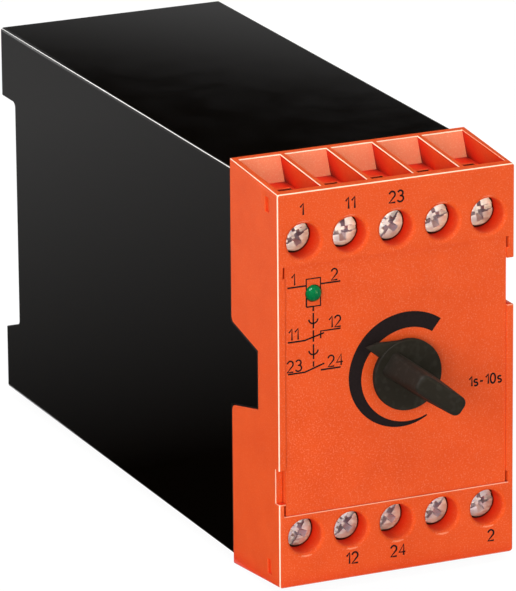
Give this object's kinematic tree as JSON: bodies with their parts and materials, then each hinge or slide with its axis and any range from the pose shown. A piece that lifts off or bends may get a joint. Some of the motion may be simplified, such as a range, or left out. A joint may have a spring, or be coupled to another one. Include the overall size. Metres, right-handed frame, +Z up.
{
  "type": "time delay relay",
  "caption": "Rail-mounted time delay relay: black housing, orange terminal hood with screw clamps, setting knob with a finger wing, status lamp and sprung rail latch.",
  "frame": {"origin": "on the rail's centre line, in the plane where the rail's lips seat, mid-width", "axes": "+X to the right along the rail, +Y to the rear, +Z up as mounted"},
  "size_m": [0.045, 0.1387, 0.074],
  "materials": {
    "hood_orange": "fine eroded mould texture, satin",
    "housing_black": "satin",
    "latch_black": "satin",
    "knob_black": "satin, slightly glossy",
    "lamp_green": "clear tinted",
    "screw_steel": "zinc plated",
    "plated_steel": "nickel plated",
    "plated_brass": "tin plated",
    "board_green": "solder resist",
    "component_black": "moulded resin",
    "relay_case": "moulded",
    "capacitor_sleeve": "shrink sleeve",
    "shaft_grey": "moulded"
  },
  "bodies": {
    "housing": {"front_hood": "hood_orange", "front_plate": "hood_orange", "rear_housing": "housing_black", "latch_spring": "plated_steel", "potentiometer_body": "component_black", "status_led": "lamp_green", "led_leads": "plated_steel", "front_board": "board_green", "main_board": "board_green", "output_relay": "relay_case", "supply_transformer": "component_black", "smoothing_capacitor": "capacitor_sleeve", "timer_chip": "component_black", "bridge_rectifier": "component_black", "terminal_plate_top_1": "plated_brass", "terminal_plate_top_2": "plated_brass", "terminal_plate_top_3": "plated_brass", "terminal_plate_top_4": "plated_brass", "terminal_plate_top_5": "plated_brass", "terminal_plate_bottom_1": "plated_brass", "terminal_plate_bottom_2": "plated_brass", "terminal_plate_bottom_3": "plated_brass", "terminal_plate_bottom_4": "plated_brass", "terminal_plate_bottom_5": "plated_brass"},
    "knob": {"time_knob": "knob_black", "potentiometer_shaft": "shaft_grey"},
    "latch": {"rail_latch": "latch_black"},
    "clamp_top_1": {"terminal_clamp_top_1": "plated_steel"},
    "screw_top_1": {"terminal_screw_top_1": "screw_steel"},
    "clamp_top_2": {"terminal_clamp_top_2": "plated_steel"},
    "screw_top_2": {"terminal_screw_top_2": "screw_steel"},
    "clamp_top_3": {"terminal_clamp_top_3": "plated_steel"},
    "screw_top_3": {"terminal_screw_top_3": "screw_steel"},
    "clamp_top_4": {"terminal_clamp_top_4": "plated_steel"},
    "screw_top_4": {"terminal_screw_top_4": "screw_steel"},
    "clamp_top_5": {"terminal_clamp_top_5": "plated_steel"},
    "screw_top_5": {"terminal_screw_top_5": "screw_steel"},
    "clamp_bottom_1": {"terminal_clamp_bottom_1": "plated_steel"},
    "screw_bottom_1": {"terminal_screw_bottom_1": "screw_steel"},
    "clamp_bottom_2": {"terminal_clamp_bottom_2": "plated_steel"},
    "screw_bottom_2": {"terminal_screw_bottom_2": "screw_steel"},
    "clamp_bottom_3": {"terminal_clamp_bottom_3": "plated_steel"},
    "screw_bottom_3": {"terminal_screw_bottom_3": "screw_steel"},
    "clamp_bottom_4": {"terminal_clamp_bottom_4": "plated_steel"},
    "screw_bottom_4": {"terminal_screw_bottom_4": "screw_steel"},
    "clamp_bottom_5": {"terminal_clamp_bottom_5": "plated_steel"},
    "screw_bottom_5": {"terminal_screw_bottom_5": "screw_steel"}
  },
  "joints": [
    {"name": "knob_turn", "type": "hinge", "parent": "housing", "child": "knob", "pos_m": [0.0014, -0.1174, 0.00055], "axis": [0, -1, 0], "range_deg": [-92, 157]},
    {"name": "latch_slide", "type": "slide", "parent": "housing", "child": "latch", "axis": [0, 0, -1], "range_m": [0, 0.0035], "stiffness_N_per_m": 1500, "springref_m": -0.002, "deforming": ["latch_spring"]},
    {"name": "clamp_slide_top_1", "type": "slide", "parent": "housing", "child": "clamp_top_1", "axis": [0, 1, 0], "range_m": [-0.0006, 0.003]},
    {"name": "screw_turn_top_1", "type": "hinge", "parent": "clamp_top_1", "child": "screw_top_1", "pos_m": [-0.0175, -0.1137, 0.0266], "axis": [0, 1, 0], "range_deg": [-360, 1800]},
    {"name": "clamp_slide_top_2", "type": "slide", "parent": "housing", "child": "clamp_top_2", "axis": [0, 1, 0], "range_m": [-0.00005, 0.00355]},
    {"name": "screw_turn_top_2", "type": "hinge", "parent": "clamp_top_2", "child": "screw_top_2", "pos_m": [-0.00875, -0.11425, 0.0266], "axis": [0, 1, 0], "range_deg": [-31, 2130]},
    {"name": "clamp_slide_top_3", "type": "slide", "parent": "housing", "child": "clamp_top_3", "axis": [0, 1, 0], "range_m": [-0.00005, 0.00355]},
    {"name": "screw_turn_top_3", "type": "hinge", "parent": "clamp_top_3", "child": "screw_top_3", "pos_m": [0, -0.11425, 0.0266], "axis": [0, 1, 0], "range_deg": [-31, 2130]},
    {"name": "clamp_slide_top_4", "type": "slide", "parent": "housing", "child": "clamp_top_4", "axis": [0, 1, 0], "range_m": [-0.0002, 0.0034]},
    {"name": "screw_turn_top_4", "type": "hinge", "parent": "clamp_top_4", "child": "screw_top_4", "pos_m": [0.00875, -0.1141, 0.0266], "axis": [0, 1, 0], "range_deg": [-121, 2040]},
    {"name": "clamp_slide_top_5", "type": "slide", "parent": "housing", "child": "clamp_top_5", "axis": [0, 1, 0], "range_m": [-0.0004, 0.0032]},
    {"name": "screw_turn_top_5", "type": "hinge", "parent": "clamp_top_5", "child": "screw_top_5", "pos_m": [0.0175, -0.1139, 0.0266], "axis": [0, 1, 0], "range_deg": [-241, 1920]},
    {"name": "clamp_slide_bottom_1", "type": "slide", "parent": "housing", "child": "clamp_bottom_1", "axis": [0, 1, 0], "range_m": [-0.0003, 0.0033]},
    {"name": "screw_turn_bottom_1", "type": "hinge", "parent": "clamp_bottom_1", "child": "screw_bottom_1", "pos_m": [-0.0175, -0.114, -0.0266], "axis": [0, 1, 0], "range_deg": [-180, 1980]},
    {"name": "clamp_slide_bottom_2", "type": "slide", "parent": "housing", "child": "clamp_bottom_2", "axis": [0, 1, 0], "range_m": [-0.00005, 0.00355]},
    {"name": "screw_turn_bottom_2", "type": "hinge", "parent": "clamp_bottom_2", "child": "screw_bottom_2", "pos_m": [-0.00875, -0.11425, -0.0266], "axis": [0, 1, 0], "range_deg": [-31, 2130]},
    {"name": "clamp_slide_bottom_3", "type": "slide", "parent": "housing", "child": "clamp_bottom_3", "axis": [0, 1, 0], "range_m": [-0.0009, 0.0027]},
    {"name": "screw_turn_bottom_3", "type": "hinge", "parent": "clamp_bottom_3", "child": "screw_bottom_3", "pos_m": [0, -0.1134, -0.0266], "axis": [0, 1, 0], "range_deg": [-540, 1620]},
    {"name": "clamp_slide_bottom_4", "type": "slide", "parent": "housing", "child": "clamp_bottom_4", "axis": [0, 1, 0], "range_m": [-0.0004, 0.0032]},
    {"name": "screw_turn_bottom_4", "type": "hinge", "parent": "clamp_bottom_4", "child": "screw_bottom_4", "pos_m": [0.00875, -0.1139, -0.0266], "axis": [0, 1, 0], "range_deg": [-241, 1920]},
    {"name": "clamp_slide_bottom_5", "type": "slide", "parent": "housing", "child": "clamp_bottom_5", "axis": [0, 1, 0], "range_m": [-0.00005, 0.00355]},
    {"name": "screw_turn_bottom_5", "type": "hinge", "parent": "clamp_bottom_5", "child": "screw_bottom_5", "pos_m": [0.0175, -0.11425, -0.0266], "axis": [0, 1, 0], "range_deg": [-31, 2130]}
  ],
  "couplings": [
    {"joint": "screw_turn_top_1", "follows": "clamp_slide_top_1", "rad_per_m": 10472},
    {"joint": "screw_turn_top_2", "follows": "clamp_slide_top_2", "rad_per_m": 10472},
    {"joint": "screw_turn_top_3", "follows": "clamp_slide_top_3", "rad_per_m": 10472},
    {"joint": "screw_turn_top_4", "follows": "clamp_slide_top_4", "rad_per_m": 10472},
    {"joint": "screw_turn_top_5", "follows": "clamp_slide_top_5", "rad_per_m": 10472},
    {"joint": "screw_turn_bottom_1", "follows": "clamp_slide_bottom_1", "rad_per_m": 10472},
    {"joint": "screw_turn_bottom_2", "follows": "clamp_slide_bottom_2", "rad_per_m": 10472},
    {"joint": "screw_turn_bottom_3", "follows": "clamp_slide_bottom_3", "rad_per_m": 10472},
    {"joint": "screw_turn_bottom_4", "follows": "clamp_slide_bottom_4", "rad_per_m": 10472},
    {"joint": "screw_turn_bottom_5", "follows": "clamp_slide_bottom_5", "rad_per_m": 10472}
  ]
}
